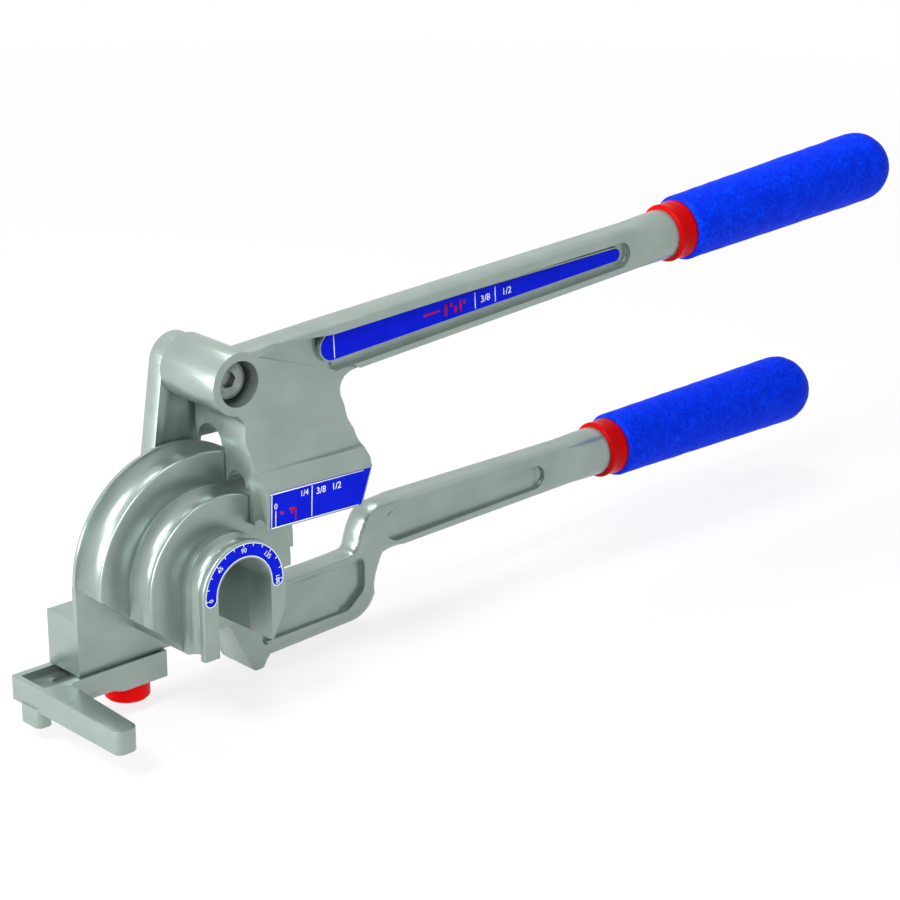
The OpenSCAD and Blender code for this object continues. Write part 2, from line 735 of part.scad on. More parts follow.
// All that lies beyond the plane across the shoe handle
module beyond_seam() {
    on_arm() translate([arm_seam, 0, -boss_z]) cube([shoe_reach * 2, bar_y, boss_z * 2]);
}
module shoe_casting() {
    color("#b4bdb6") difference() {
        union() {
            difference() {
                union() {
                    rod_y(boss_x, boss_z, boss_r, boss_front, boss_back);
                    on_arm() shoe_arm();
                    intersection() {
                        slab(block_front - over, shoe_back) shoe_outline();
                        on_shoe() translate([-shoe_len, 0, 0]) rotate([90, 0, 90])
                            linear_extrude(height = shoe_len * 3) shoe_section();
                    }
                    slab(boss_front, arm_y + arm_w * 0.3) intersection() {
                        shoe_outline();
                        translate([-shoe_x, plate_z]) square([shoe_len * 2, boss_z - plate_z + boss_r / 2]);
                    }
                }
                rod_y(boss_x, boss_z, bore_r, boss_front - boss_r, boss_front + bore_depth);
                rod_y(boss_x, boss_z, bush_out + seat_play, boss_front, boss_back + over);
                on_arm() shoe_web();
            }
            label_pad();
        }
        beyond_seam();
    }
}
module shoe_bar() {
    color("#b4bdb6") intersection() {
        beyond_seam();
        union() {
            on_arm() difference() {
                shoe_arm();
                shoe_web();
            }
            label_pad();
        }
    }
}
module boss_bush() {
    y1 = boss_front + bore_depth;
    color("#a9803c") difference() {
        rod_y(boss_x, boss_z, bush_out, y1, boss_back);
        rod_y(boss_x, boss_z, bush_r, y1 - over, boss_back + over);
    }
}
module shoe_scale() {
    z1 = shoe_r1 + label_edge;
    z2 = flute_z - label_edge * 2;
    x1 = shoe_x + label_edge;
    color("#0018d8") on_shoe() slab(block_front - label_t, block_front)
        polygon([[x1, z1], [shoe_x + shoe_len * 0.895, z1], [shoe_x + shoe_len * 0.985, z2], [x1, z2]]);
}
module handle_scale() {
    front = web_floor - pad_t;
    color("#0018d8") on_arm() slab(front - label_t, front)
        stroke([label_x1, label_z1], label_r1, [label_x2, -arm_drop / 2], label_r2);
}
module shoe_sleeve() {
    color("#d8000c") on_arm() translate([shoe_reach, arm_y, -arm_drop]) sleeve(shoe_grip_len);
}
module shoe_grip() {
    color("#0a2fb4") on_arm() translate([shoe_reach, arm_y, -arm_drop]) grip(shoe_grip_len);
}

module hook_outline() {
    polygon(rounded([[-hook_left, hook_back, rim_edge * 2], [-hook_left, -hook_reach, hook_w2 * 0.3],
        [-hook_left + hook_w2, -hook_reach, hook_w2 * 0.4], [-hook_left + hook_w1, hook_front, foot_edge],
        [-hook_right, hook_front, 0], [-hook_right, hook_back, 0]]));
}
module hook_casting() {
    pad_x = hook_left - hook_w1 * 0.51;
    pad_y = y_flange + chan_wall / 2;
    color("#b4bdb6") difference() {
        union() {
            translate([0, 0, -hook_low]) linear_extrude(height = hook_h) hook_outline();
            translate([0, 0, -hook_low - pad_h]) linear_extrude(height = pad_h + over)
                polygon(rounded([[-hook_left - rim_edge, pad_y, foot_edge],
                    [-pad_x, pad_y, foot_edge], [-pad_x, pad_y + hook_w1, foot_edge],
                    [-hook_left - rim_edge, pad_y + hook_w1, foot_edge]]));
            translate([0, 0, -hook_low - stud_pad]) linear_extrude(height = stud_pad + over)
                polygon(rounded([[-stud_x - hook_w1, hook_front, foot_edge * 2], [-hook_right, hook_front, 0],
                    [-hook_right, hook_back, 0], [-stud_x - hook_w1, hook_back, foot_edge * 2]]));
        }
        translate([-hook_left + chan_wall, chan_front, -hook_top - chan_depth])
            cube([hook_left - hook_right, hook_back - chan_wall - chan_front, chan_depth + over]);
        translate([0, 0, -hook_low - stud_pad - over]) linear_extrude(height = hook_h + stud_pad + over * 2)
            stroke([-stud_x - hook_in, stud_y], slot_r, [-stud_x + hook_out, stud_y], slot_r);
    }
}
module knob_washer() {
    z1 = -hook_low - stud_pad - slide_play;
    color("#9a9fa0") difference() {
        rod_z(-stud_x, stud_y, z1 - rim_edge, z1, knob_r - rim_edge);
        rod_z(-stud_x, stud_y, z1 - rim_edge - over, z1 + over, stud_d / 2 + seat_play);
    }
}
module knob() {
    z1 = -hook_low - stud_pad - slide_play - rim_edge;
    color("#e00008") difference() {
        union() {
            rod_z(-stud_x, stud_y, z1 - knob_h + rim_edge, z1, knob_r);
            rod_z(-stud_x, stud_y, z1 - knob_h, z1, knob_r - rim_edge);
        }
        rod_z(-stud_x, stud_y, z1 - knob_h + rim_edge * 2, z1 + over, stud_d / 2 + seat_play);
    }
}
module knob_stud() {
    z1 = -hook_low - stud_pad - slide_play - rim_edge - knob_h + rim_edge * 2;
    color("#9a9fa0") rod_z(-stud_x, stud_y, z1 + seat_play, -foot_z - key_h + insert_h - rim_edge, stud_d / 2);
}

form_casting();
wheel_small();
wheel_middle();
degree_scale();
form_sleeve();
form_grip();
pivot_bolt();
thrust_washer();
pivot_washer();
pivot_nut();
stud_insert();
link_bar();
link_bush();
shoe_bolt();
shoe_casting();
shoe_bar();
boss_bush();
shoe_scale();
handle_scale();
shoe_sleeve();
shoe_grip();
hook_casting();
knob_washer();
knob();
knob_stud();
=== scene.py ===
import math
import bmesh
import bpy
import numpy as np
from mathutils import Matrix, Vector


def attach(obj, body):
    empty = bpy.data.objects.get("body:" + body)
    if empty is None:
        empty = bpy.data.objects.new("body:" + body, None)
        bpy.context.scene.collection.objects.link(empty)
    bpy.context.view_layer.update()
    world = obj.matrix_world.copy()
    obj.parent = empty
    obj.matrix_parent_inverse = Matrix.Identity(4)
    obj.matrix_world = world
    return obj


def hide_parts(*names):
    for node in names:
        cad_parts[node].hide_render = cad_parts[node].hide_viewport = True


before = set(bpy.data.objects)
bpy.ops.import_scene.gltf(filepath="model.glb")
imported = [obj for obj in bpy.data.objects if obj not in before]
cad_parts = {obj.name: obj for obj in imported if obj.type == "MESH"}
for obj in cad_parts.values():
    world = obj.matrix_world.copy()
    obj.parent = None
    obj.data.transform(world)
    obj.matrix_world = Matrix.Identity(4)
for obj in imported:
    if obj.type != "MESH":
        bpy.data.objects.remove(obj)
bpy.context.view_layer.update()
mm = 0.001
scene = bpy.context.scene
scene.view_settings.view_transform = "Standard"

# camera: the photograph is taken from the upper left, a metre away
# turn and lift are in degrees, focal, frame and originPixel in pixels, away and clip in metres, film in mm
camera = {"turn": 42.3, "lift": 20.6, "focal": 3000.0, "frame": 900.0, "away": 1.0,
          "originPixel": (245.0, 590.0), "film": 36.0, "clip": (0.05, 20)}


def aimCamera(c):
    # the line of sight is the turn about the vertical and the lift over the ground; the camera stands back
    # along it from the origin, and aside by the origin's distance from the picture's middle
    a, e = math.radians(c["turn"]), math.radians(c["lift"])
    ahead = Vector((math.sin(a) * math.cos(e), math.cos(a) * math.cos(e), -math.sin(e)))
    right = Vector((math.cos(a), -math.sin(a), 0))
    up = Vector((math.sin(a) * math.sin(e), math.cos(a) * math.sin(e), math.cos(e)))
    half = c["frame"] / 2
    across = (c["originPixel"][0] - half) * c["away"] / c["focal"]
    down = (c["originPixel"][1] - half) * c["away"] / c["focal"]
    cam = bpy.data.objects.new("photoCamera", bpy.data.cameras.new("photoCamera"))
    cam.data.lens = c["focal"] / c["frame"] * c["film"]
    cam.data.sensor_width = c["film"]
    cam.data.clip_start, cam.data.clip_end = c["clip"]
    place = Matrix((right, up, -ahead)).transposed().to_4x4()
    place.translation = -(ahead * c["away"] + right * across - up * down)
    cam.matrix_world = place
    scene.collection.objects.link(cam)
    scene.camera = cam


aimCamera(camera)
print("camera placed")


def srgb(code):
    # "#rrggbb" to linear colour: a channel in the toe is divided by 12.92, any other follows the 2.4 power
    parts = [int(code[i:i + 2], 16) / 255 for i in (1, 3, 5)]
    return [p / 12.92 if p <= 0.04045 else ((p + 0.055) / 1.055) ** 2.4 for p in parts] + [1.0]


def addNode(tree, kind, settings=None, links=None):
    # one shader node: a setting goes to the socket of that name or number, or else to the node's own property
    node = tree.nodes.new(kind)
    for key, value in (settings or {}).items():
        if isinstance(key, int) or key in node.inputs:
            node.inputs[key].default_value = value
        else:
            setattr(node, key, value)
    for key, source in (links or {}).items():
        tree.links.new(source, node.inputs[key])
    return node


def startMaterial(name):
    # an empty material, with the place on the object that its patterns follow
    material = bpy.data.materials.new(name)
    material.use_nodes = True
    tree = material.node_tree
    tree.nodes.clear()
    place = addNode(tree, "ShaderNodeTexCoord").outputs["Object"]
    return material, tree, place


def endMaterial(tree, shader):
    # the shader's result is joined to the surface
    addNode(tree, "ShaderNodeOutputMaterial", links={"Surface": shader.outputs[0]})


def patches(tree, place, size, detail, least, most, middle=0.2):
    # noise with patches of a size in millimetres; its stretch about a half is spread from least to most
    noise = addNode(tree, "ShaderNodeTexNoise",
                    {"Scale": 1 / (size * mm), "Detail": detail}, {"Vector": place})
    return addNode(tree, "ShaderNodeMapRange", {"From Min": 0.5 - middle, "From Max": 0.5 + middle,
                                                "To Min": least, "To Max": most},
                   {"Value": noise.outputs["Fac"]}).outputs[0]


# aluminium die casting, tumbled and lacquered silver: a soft sheen with faint cloudy patches
# its grain is far finer than a pixel, so the tooth is drawn at 2.2 mm, as coarse as the gloss needs to vary
castFinish = {"dark": "#8e9c96", "light": "#99a6a0", "metallic": 0.76, "rough": (0.285, 0.34),
              "cloud": 16.0, "tooth": 2.2}


def castAluminium():
    # the colour goes from dark to light with the clouds, and the roughness over its span with the tooth
    f = castFinish
    material, tree, place = startMaterial("lacqueredAluminiumCasting")
    colour = addNode(tree, "ShaderNodeMix", {"data_type": "RGBA", 6: srgb(f["dark"]), 7: srgb(f["light"])},
                     {0: patches(tree, place, f["cloud"], 3.0, 0.0, 1.0)})
    shader = addNode(tree, "ShaderNodeBsdfPrincipled", {"Metallic": f["metallic"]},
                     {"Base Color": colour.outputs[2],
                      "Roughness": patches(tree, place, f["tooth"], 2.0, *f["rough"])})
    endMaterial(tree, shader)
    return material


# nitrile foam, moulded with closed cells: matt and finely pitted; the raised rims between the cells are painted
# paler, a painted highlight where they would catch the light
# real cells are a few tenths of a millimetre wide and wouldn't show, so they are drawn at 1.1 mm
foamFinish = {"deep": "#0020cc", "bright": "#0042ff", "rough": 0.6, "ior": 1.45, "shine": 0.05,
              "cell": 1.1, "grainPerCell": 1.7, "cellDepth": 0.16, "dent": 0.6, "low": 0.5, "high": 1.3,
              "blotch": 5.0, "blotchLeast": 0.45}


def foamRubber():
    # the skin's height is the distance to the nearest cell plus a grain; its stretch from low to high is a
    # painted highlight on the raised rims, and that times the random blotches is the share of the bright colour
    f = foamFinish
    material, tree, place = startMaterial("closedCellFoam")
    cells = addNode(tree, "ShaderNodeTexVoronoi", {"Scale": 1 / (f["cell"] * mm)}, {"Vector": place})
    grain = addNode(tree, "ShaderNodeTexNoise",
                    {"Scale": 1 / (f["cell"] * f["grainPerCell"] * mm), "Detail": 4.0}, {"Vector": place})
    height = addNode(tree, "ShaderNodeMath", {"operation": "ADD"},
                     {0: cells.outputs["Distance"], 1: grain.outputs["Fac"]})
    # painted highlight: the higher the skin between the cells, the more of the bright blue it gets
    paintedRimHighlight = addNode(tree, "ShaderNodeMapRange", {"From Min": f["low"], "From Max": f["high"]},
                   {"Value": height.outputs[0]})
    share = addNode(tree, "ShaderNodeMath", {"operation": "MULTIPLY"},
                    {0: paintedRimHighlight.outputs[0], 1: patches(tree, place, f["blotch"], 3.0, f["blotchLeast"], 1.0)})
    colour = addNode(tree, "ShaderNodeMix", {"data_type": "RGBA", 6: srgb(f["deep"]), 7: srgb(f["bright"])},
                     {0: share.outputs[0]})
    bump = addNode(tree, "ShaderNodeBump", {"Strength": f["dent"], "Distance": f["cellDepth"] * mm},
                   {"Height": height.outputs[0]})
    shader = addNode(tree, "ShaderNodeBsdfPrincipled",
                     {"Roughness": f["rough"], "IOR": f["ior"], "Specular IOR Level": f["shine"]},
                     {"Base Color": colour.outputs[2], "Normal": bump.outputs["Normal"]})
    endMaterial(tree, shader)
    return material


# plastics and inks: an even colour with a slight drift, and a gloss that varies a little; sizes in millimetres
plastic = {"ior": 1.5, "drift": 9.0, "fine": 2.5, "vary": 0.15}


def smoothPlastic(name, deep, bright, rough, shine):
    # the colour goes from deep to bright with the drift, and the roughness about its mean with finer patches
    p = plastic
    material, tree, place = startMaterial(name)
    colour = addNode(tree, "ShaderNodeMix", {"data_type": "RGBA", 6: srgb(deep), 7: srgb(bright)},
                     {0: patches(tree, place, p["drift"], 2.0, 0.0, 1.0, middle=0.15)})
    least, most = rough * (1 - p["vary"]), rough * (1 + p["vary"])
    shader = addNode(tree, "ShaderNodeBsdfPrincipled", {"IOR": p["ior"], "Specular IOR Level": shine},
                     {"Base Color": colour.outputs[2],
                      "Roughness": patches(tree, place, p["fine"], 1.0, least, most)})
    endMaterial(tree, shader)
    return material


# turned metals: fine lines across the axis that break the gloss, and a faint stain over 5 mm
# a wave's own size is ten times its pitch; real feed marks are finer, and are drawn as coarse as they must show
turned = {"waveSize": 10, "waver": 1.5, "lineDepth": 0.02, "dent": 0.25, "stain": 5.0, "vary": 0.2}


def turnedMetal(name, deep, bright, rough, pitch, axis):
    # the height and the roughness follow the lines, and the colour goes from deep to bright with the stain
    m = turned
    material, tree, place = startMaterial(name)
    lines = addNode(tree, "ShaderNodeTexWave",
                    {"bands_direction": axis, "Scale": 1 / (pitch * mm) / m["waveSize"],
                     "Distortion": m["waver"], "Detail": 2.0}, {"Vector": place})
    colour = addNode(tree, "ShaderNodeMix", {"data_type": "RGBA", 6: srgb(deep), 7: srgb(bright)},
                     {0: patches(tree, place, m["stain"], 3.0, 0.0, 1.0)})
    gloss = addNode(tree, "ShaderNodeMapRange",
                    {"To Min": rough * (1 - m["vary"]), "To Max": rough * (1 + m["vary"])},
                    {"Value": lines.outputs["Fac"]})
    bump = addNode(tree, "ShaderNodeBump", {"Strength": m["dent"], "Distance": m["lineDepth"] * mm},
                   {"Height": lines.outputs["Fac"]})
    shader = addNode(tree, "ShaderNodeBsdfPrincipled", {"Metallic": 1.0},
                     {"Base Color": colour.outputs[2], "Roughness": gloss.outputs[0],
                      "Normal": bump.outputs["Normal"]})
    endMaterial(tree, shader)
    return material


finish = {
    "cast": castAluminium(),
    "foam": foamRubber(),
    # soft PVC, dipped over the spigot: deep red with a blunt gleam
    "redVinyl": smoothPlastic("dippedRedVinyl", "#ba0001", "#c60003", 0.34, 0.06),
    # nylon, moulded: brighter red, with little gloss
    "redKnob": smoothPlastic("mouldedRedNylon", "#f20004", "#fe0006", 0.34, 0.08),
    # polyester film, screen printed blue: flat and even, nearly without shine
    "blueLabel": smoothPlastic("printedBlueLabel", "#081ad2", "#0c20dc", 0.5, 0.03),
    # screen inks, printed white and red: smooth, and a little glossier than the film under them
    "whiteInk": smoothPlastic("whiteScreenInk", "#e4ebee", "#f6fafb", 0.42, 0.2),
    "redInk": smoothPlastic("redScreenInk", "#b4061c", "#cc0c24", 0.42, 0.1),
    # steel, turned and zinc plated: cool grey and half bright
    "steel": turnedMetal("zincPlatedSteel", "#737a79", "#949b99", 0.36, 0.3, "Y"),
    # bronze, pressed and sintered: brown and dull from its pores
    "bronze": turnedMetal("sinteredBronze", "#86602c", "#a9803f", 0.42, 0.4, "Y"),
    # brass, turned: yellow and bright
    "brass": turnedMetal("turnedBrass", "#a98238", "#c9a352", 0.36, 0.3, "Z"),
}
print("materials made")


def newPiece(name, mesh, body, material, smooth=0):
    # a mesh in its material, on its body; with an angle, edges that turn by more stay sharp to the eye
    mesh.name = name
    mesh.materials.clear()
    mesh.materials.append(material)
    mesh.polygons.foreach_set("use_smooth", np.ones(len(mesh.polygons), bool))
    piece = bpy.data.objects.new(name, mesh)
    scene.collection.objects.link(piece)
    if smooth:
        bpy.context.view_layer.objects.active = piece
        piece.select_set(True)
        bpy.ops.object.shade_smooth_by_angle(angle=math.radians(smooth))
        piece.select_set(False)
    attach(piece, body)
    return piece


def gridMesh(points, closeV=False):
    # a grid of points, u round the first axis and v along the second: each makes a quad with its next ones
    nu, nv = points.shape[:2]
    u, v = np.meshgrid(np.arange(nu), np.arange(nv if closeV else nv - 1), indexing="ij")
    u1, v1 = (u + 1) % nu, (v + 1) % nv
    faces = np.stack([u * nv + v, u1 * nv + v, u1 * nv + v1, u * nv + v1], -1).reshape(-1, 4)
    mesh = bpy.data.meshes.new("grid")
    mesh.from_pydata(points.reshape(-1, 3), [], faces.tolist())
    return mesh


def tidied(mesh, gap=1e-7):
    # points nearer than the gap become one, edges shorter than it go, and faces turn outwards
    work = bmesh.new()
    work.from_mesh(mesh)
    bmesh.ops.remove_doubles(work, verts=work.verts, dist=gap)
    bmesh.ops.dissolve_degenerate(work, edges=work.edges, dist=gap)
    bmesh.ops.recalc_face_normals(work, faces=work.faces)
    work.to_mesh(mesh)
    work.free()
    return mesh


# places taken from the solid model, in millimetres and degrees: the boss of the shoe handle, the tilts of its
# arm and of the shoe, the lines of both handles, and where their grips begin
tool = {"boss": (10.109, 0.0, 66.84), "armTilt": 2.9, "shoeTilt": 2.2, "barY": 46.88, "barZ": -16.6,
        "armY": 18.38, "armDrop": -0.8, "formReach": 211.0, "shoeReach": 206.4}
shoePlace = Matrix.Rotation(math.radians(tool["shoeTilt"]), 4, "Y")
armTurn = Matrix.Rotation(-math.radians(tool["armTilt"]), 4, "Y")
armPlace = Matrix.Translation(Vector(tool["boss"]) * mm) @ armTurn
formGripStart = Vector((tool["formReach"], tool["barY"], tool["barZ"])) * mm
shoeGripStart = Vector((tool["shoeReach"], tool["armY"], tool["armDrop"])) * mm
formHandlePlace = Matrix.Translation(formGripStart)
shoeHandlePlace = armPlace @ Matrix.Translation(shoeGripStart)

# castings: the width of the rounded edges in millimetres, and the body
softEdges = {"form_casting": (0.9, "form"), "wheel_middle": (0.9, "form"), "wheel_small": (0.9, "form"),
             "shoe_casting": (0.6, "shoe_handle"), "shoe_bar": (0.6, "shoe_handle"),
             "hook_casting": (0.6, "hook"), "link_bar": (0.6, "link")}
# weld is in metres, flat and sharp are angles in degrees; above the share eased of relaxing no edge is rounded
# graze and near, in metres, are how far a face must reach into a box, and how near a cut a point counts as on it
rounding = {"weld": 2e-6, "flat": 0.4, "sharp": 28.0, "segments": 3, "pull": 0.6, "eased": 0.2,
            "graze": 1e-6, "near": 1e-7}
# planes where pieces of one casting meet flush, so that their edges stay square: depths, and a place on the arm
seams = {"depths": (11.8, 24.33), "alongArm": 55.0, "band": 0.2}


def onSeam(place):
    # a point is on a seam where its depth, or its distance along the arm, is the seam's within the band
    along = (armPlace.inverted() @ place).x
    return any(abs(place.y - d * mm) < seams["band"] * mm for d in seams["depths"]) \
        or abs(along - seams["alongArm"] * mm) < seams["band"] * mm


# where a handle steps up from its root, or turns from flat to round, the faces are cut small and relaxed, as in a
# die: beside lines seen from the front, each with the widths where the ease is full and gone, or over a span with
# its fade; all in millimetres
kneeFront = [(76.0, -24.6), (83.0, -23.4), (85.8, -16.5), (90.0, -10.4), (99.0, -7.6)]
kneeBack = [(94.6, -38.0), (94.8, -33.0), (96.6, -29.6), (100.0, -27.6), (104.5, -27.0)]
blends = {"form_casting": [{"box": ((76.0, 38.0, -42.0), (108.0, 56.0, -4.0)), "step": 1.2, "turns": 40,
                            "lines": [(kneeFront, 3.4, 6.0), (kneeBack, 1.6, 3.0)]},
                           {"box": ((190.0, 36.0, -28.0), (211.0, 58.0, -5.0)), "step": 1.5, "turns": 24,
                            "span": (191.0, 210.8, 4.0)}],
          "shoe_bar": [{"box": ((195.0, 6.0, 60.0), (216.4, 30.0, 92.0)), "step": 1.5, "turns": 24,
                        "span": (196.0, 216.0, 4.0)}]}


def blended(work, b):
    # each point moves towards the mean of its neighbours, by a share that falls off from the lines or the span
    low, high = (Vector(c) * mm for c in b["box"])

    def touches(face):
        # a face reaches into the box where, along each axis, its span and the box's overlap
        return all(max(v.co[k] for v in face.verts) > low[k] + rounding["graze"]
                   and min(v.co[k] for v in face.verts) < high[k] - rounding["graze"] for k in range(3))

    def sliced(faces, k, level):
        # the faces are cut by the plane across axis k at the level; those that reach into the box come back
        normal, place = Vector((0, 0, 0)), Vector((0, 0, 0))
        normal[k], place[k] = 1.0, float(level)
        parts = faces + list({e for f in faces for e in f.edges}) + list({v for f in faces for v in f.verts})
        cut = bmesh.ops.bisect_plane(work, geom=parts, dist=rounding["near"], plane_co=place, plane_no=normal)
        return [g for g in cut["geom"] if isinstance(g, bmesh.types.BMFace) and touches(g)]

    # the box's two ends are cut first, so that the triangles end there
    some = sliced(sliced([f for f in work.faces if touches(f)], 0, low.x), 0, high.x)
    some = bmesh.ops.triangulate(work, faces=some)["faces"]
    for k in range(3):
        for level in np.arange(low[k] + b["step"] * mm, high[k], b["step"] * mm):
            some = sliced(some, k, level)
    work.verts.index_update()
    work.verts.ensure_lookup_table()
    points = np.array([v.co for v in work.verts]) / mm
    share = np.zeros(len(points))
    if "span" in b:
        start, end, fade = b["span"]
        share = np.clip(np.minimum(points[:, 0] - start, end - points[:, 0]) / fade, 0, 1)
    for line, full, none in b.get("lines", []):
        first, second = np.array(line[:-1]), np.array(line[1:])
        step = second - first
        along = np.clip(((points[:, None, ::2] - first) * step).sum(-1) / (step ** 2).sum(-1), 0, 1)
        away = np.linalg.norm(points[:, None, ::2] - (first + along[..., None] * step), axis=-1).min(1)
        share = np.maximum(share, np.clip((none - away) / (none - full), 0, 1))
    pairs = np.array([(e.verts[0].index, e.verts[1].index) for e in work.edges])
    count = np.bincount(pairs.ravel(), minlength=len(points))[:, None]
    for turn in range(b["turns"]):
        total = np.zeros_like(points)
        np.add.at(total, pairs[:, 0], points[pairs[:, 1]])
        np.add.at(total, pairs[:, 1], points[pairs[:, 0]])
        points += rounding["pull"] * share[:, None] * (total / count - points)
    for k in np.nonzero(share)[0]:
        work.verts[int(k)].co = points[k] * mm
    return [work.verts[int(k)] for k in np.nonzero(share > rounding["eased"])[0]]


def softCasting(node, width, body):
    # an edge is rounded where its faces turn by more than the sharp angle, away from seams and eased parts
    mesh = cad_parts[node].data.copy()
    work = bmesh.new()
    work.from_mesh(mesh)
    bmesh.ops.remove_doubles(work, verts=work.verts, dist=rounding["weld"])
    flat = math.radians(rounding["flat"])
    bmesh.ops.dissolve_limit(work, angle_limit=flat, verts=work.verts, edges=work.edges)
    weight = work.edges.layers.float.new("bevel_weight_edge")
    eased = {v for b in blends.get(node, []) for v in blended(work, b)}
    work.verts.index_update()
    flush = {v.index: onSeam(v.co) for v in work.verts} if body in ("form", "shoe_handle") else {}
    for edge in work.edges:
        kept = bool(flush) and flush[edge.verts[0].index] and flush[edge.verts[1].index]
        sharp = edge.calc_face_angle(0) > math.radians(rounding["sharp"]) \
            and not (edge.verts[0] in eased or edge.verts[1] in eased)
        edge[weight] = 1.0 if sharp and not kept else 0.0
        edge.smooth = not (sharp and kept)
    work.to_mesh(mesh)
    work.free()
    piece = newPiece("soft_" + node, mesh, body, finish["cast"])
    bevel = piece.modifiers.new("castRounding", "BEVEL")
    bevel.width, bevel.segments = width * mm, rounding["segments"]
    bevel.limit_method = "WEIGHT"
    bevel.use_clamp_overlap = True
    bevel.loop_slide = True
    bevel.harden_normals = True
    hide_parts(node)
    return piece


for node, (width, body) in softEdges.items():
    softCasting(node, width, body)
print("castings rounded")

# pieces that keep their solids each take a finish; sleeves and grips get theirs again below, as new surfaces
plainPieces = {"steel": ("pivot_bolt", "pivot_washer", "pivot_nut", "shoe_bolt", "knob_washer", "knob_stud"),
               "bronze": ("thrust_washer", "link_bush", "boss_bush"), "brass": ("stud_insert",),
               "blueLabel": ("degree_scale", "shoe_scale", "handle_scale"), "redKnob": ("knob",),
               "redVinyl": ("form_sleeve", "shoe_sleeve"), "foam": ("form_grip", "shoe_grip")}
for kind, nodes in plainPieces.items():
    for node in nodes:
        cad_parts[node].data.materials.clear()
        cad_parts[node].data.materials.append(finish[kind])

# foam grips, in millimetres: radius r1 at the cut end and r2 at the domed tip, with soft ripples and pits
# a wave goes round a whole number of times and along by its heading, and is lower the more turns it makes
grip = {"front": 8.4, "r1": 12.5, "r2": 13.8, "edge": 1.6, "formLength": 111.0, "shoeLength": 115.0,
        "sleeveR": 11.0, "sleevePlay": 0.02, "ripple": 0.16, "pit": 0.09, "round": 160, "along": 180,
        "edgeSteps": 8, "tipSteps": 28, "waves": 26, "turns": (1, 34), "heading": (0.02, 0.9), "phase": 6.28,
        "lowering": 6, "fade": 4}


def foamGrip(name, place, length, seed, body, node):
    # the radius along the handle is a quarter circle, a straight taper and a dome; it is carried round the
    # handle, less the depth of the ripples and pits, which fade out towards the sleeve and the tip
    g = grip
    inside = length - g["r2"]
    t = np.linspace(0, 1, g["along"])
    turn = math.pi / 2
    profile = [(g["front"], g["sleeveR"] + g["sleevePlay"])]
    profile += [(g["front"] + g["edge"] * (1 - math.sin(c)), g["r1"] - g["edge"] + g["edge"] * math.cos(c))
                for c in np.linspace(0, turn, g["edgeSteps"])[::-1]]
    profile += [(g["front"] + g["edge"] + s * (inside - g["edge"]), g["r1"] + s * (g["r2"] - g["r1"]))
                for s in t[1:-1]]
    profile += [(g["front"] + inside + g["r2"] * math.sin(c), g["r2"] * math.cos(c))
                for c in np.linspace(0, turn, g["tipSteps"])]
    profile = np.array(profile)
    angle = np.linspace(0, 2 * math.pi, g["round"], endpoint=False)
    rng = np.random.default_rng(seed)
    bump = np.zeros((g["round"], len(profile)))
    for k in range(g["waves"]):
        turns, heading = rng.integers(*g["turns"]), rng.uniform(*g["heading"])
        wave = turns * angle[:, None] + heading * profile[None, :, 0] + rng.uniform(0, g["phase"])
        bump += np.sin(wave) / (1 + turns / g["lowering"])
    bump *= g["ripple"] / np.abs(bump).max()
    pits = -g["pit"] * rng.random(bump.shape) ** 4
    fromFront = np.clip((profile[:, 0] - g["front"]) / g["fade"], 0, 1)
    fade = np.clip(profile[:, 1] / g["r1"], 0, 1) ** 2 * fromFront
    radius = profile[None, :, 1] - (g["ripple"] - bump - pits) * fade[None, :]
    radius[:, -1] = 0
    points = np.stack([np.broadcast_to(profile[None, :, 0], radius.shape),
                       radius * np.cos(angle)[:, None], radius * np.sin(angle)[:, None]], -1) * mm
    mesh = tidied(gridMesh(points))
    mesh.transform(place)
    piece = newPiece(name, mesh, body, finish["foam"])
    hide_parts(node)
    return piece


foamGrip("formGripFoam", formHandlePlace, grip["formLength"], 3, "form", "form_grip")
foamGrip("shoeGripFoam", shoeHandlePlace, grip["shoeLength"], 8, "shoe_handle", "shoe_grip")
print("grips made")

# red sleeves, in millimetres: a dipped collar with a rolled lip, a shallow waist and a back edge cut square
sleeve = {"length": 8.4, "outer": 11.0, "inner": 9.44, "lip": 0.9, "lipSteps": 7, "groove": 0.25,
          "waist": (0.4, 5.2), "waistSteps": 8, "backEdge": (0.3, 0.2), "round": 128}


def redCollar(name, place, body, node):
    # the radius along the handle is a quarter circle for the lip, half a sine for the waist and a straight
    # back; the outline is closed through the bore and carried round the handle
    s = sleeve
    lip, (first, last) = s["lip"], s["waist"]
    arc = np.linspace(0, math.pi / 2, s["lipSteps"])
    front = [(lip * (1 - math.sin(a)), s["outer"] - lip + lip * math.cos(a)) for a in arc[::-1]]
    waist = [(lip + d, s["outer"] - s["groove"] * math.sin(math.pi * d / last))
             for d in np.linspace(first, last, s["waistSteps"])]
    back = [(s["length"] - s["backEdge"][0], s["outer"]), (s["length"], s["outer"] - s["backEdge"][1])]
    profile = np.array([(0.0, s["inner"])] + front + waist + back + [(s["length"], s["inner"])])
    angle = np.linspace(0, 2 * math.pi, s["round"], endpoint=False)[:, None]
    radius = np.broadcast_to(profile[None, :, 1], (s["round"], len(profile)))
    points = np.stack([np.broadcast_to(profile[None, :, 0], radius.shape),
                       radius * np.cos(angle), radius * np.sin(angle)], -1) * mm
    mesh = tidied(gridMesh(points, closeV=True))
    mesh.transform(place)
    piece = newPiece(name, mesh, body, finish["redVinyl"], smooth=50)
    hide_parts(node)
    return piece


redCollar("formCollar", formHandlePlace, "form", "form_sleeve")
redCollar("shoeCollar", shoeHandlePlace, "shoe_handle", "shoe_sleeve")
print("collars made")

# print on the labels, in millimetres: bars and figures, a hair proud of the label; drawn flat, then stood up
ink = {"rise": 0.05, "sizePerHeight": 1.4, "swellPerHeight": 0.012, "curveSteps": 3}
facing = Matrix.Rotation(math.pi / 2, 4, "X")


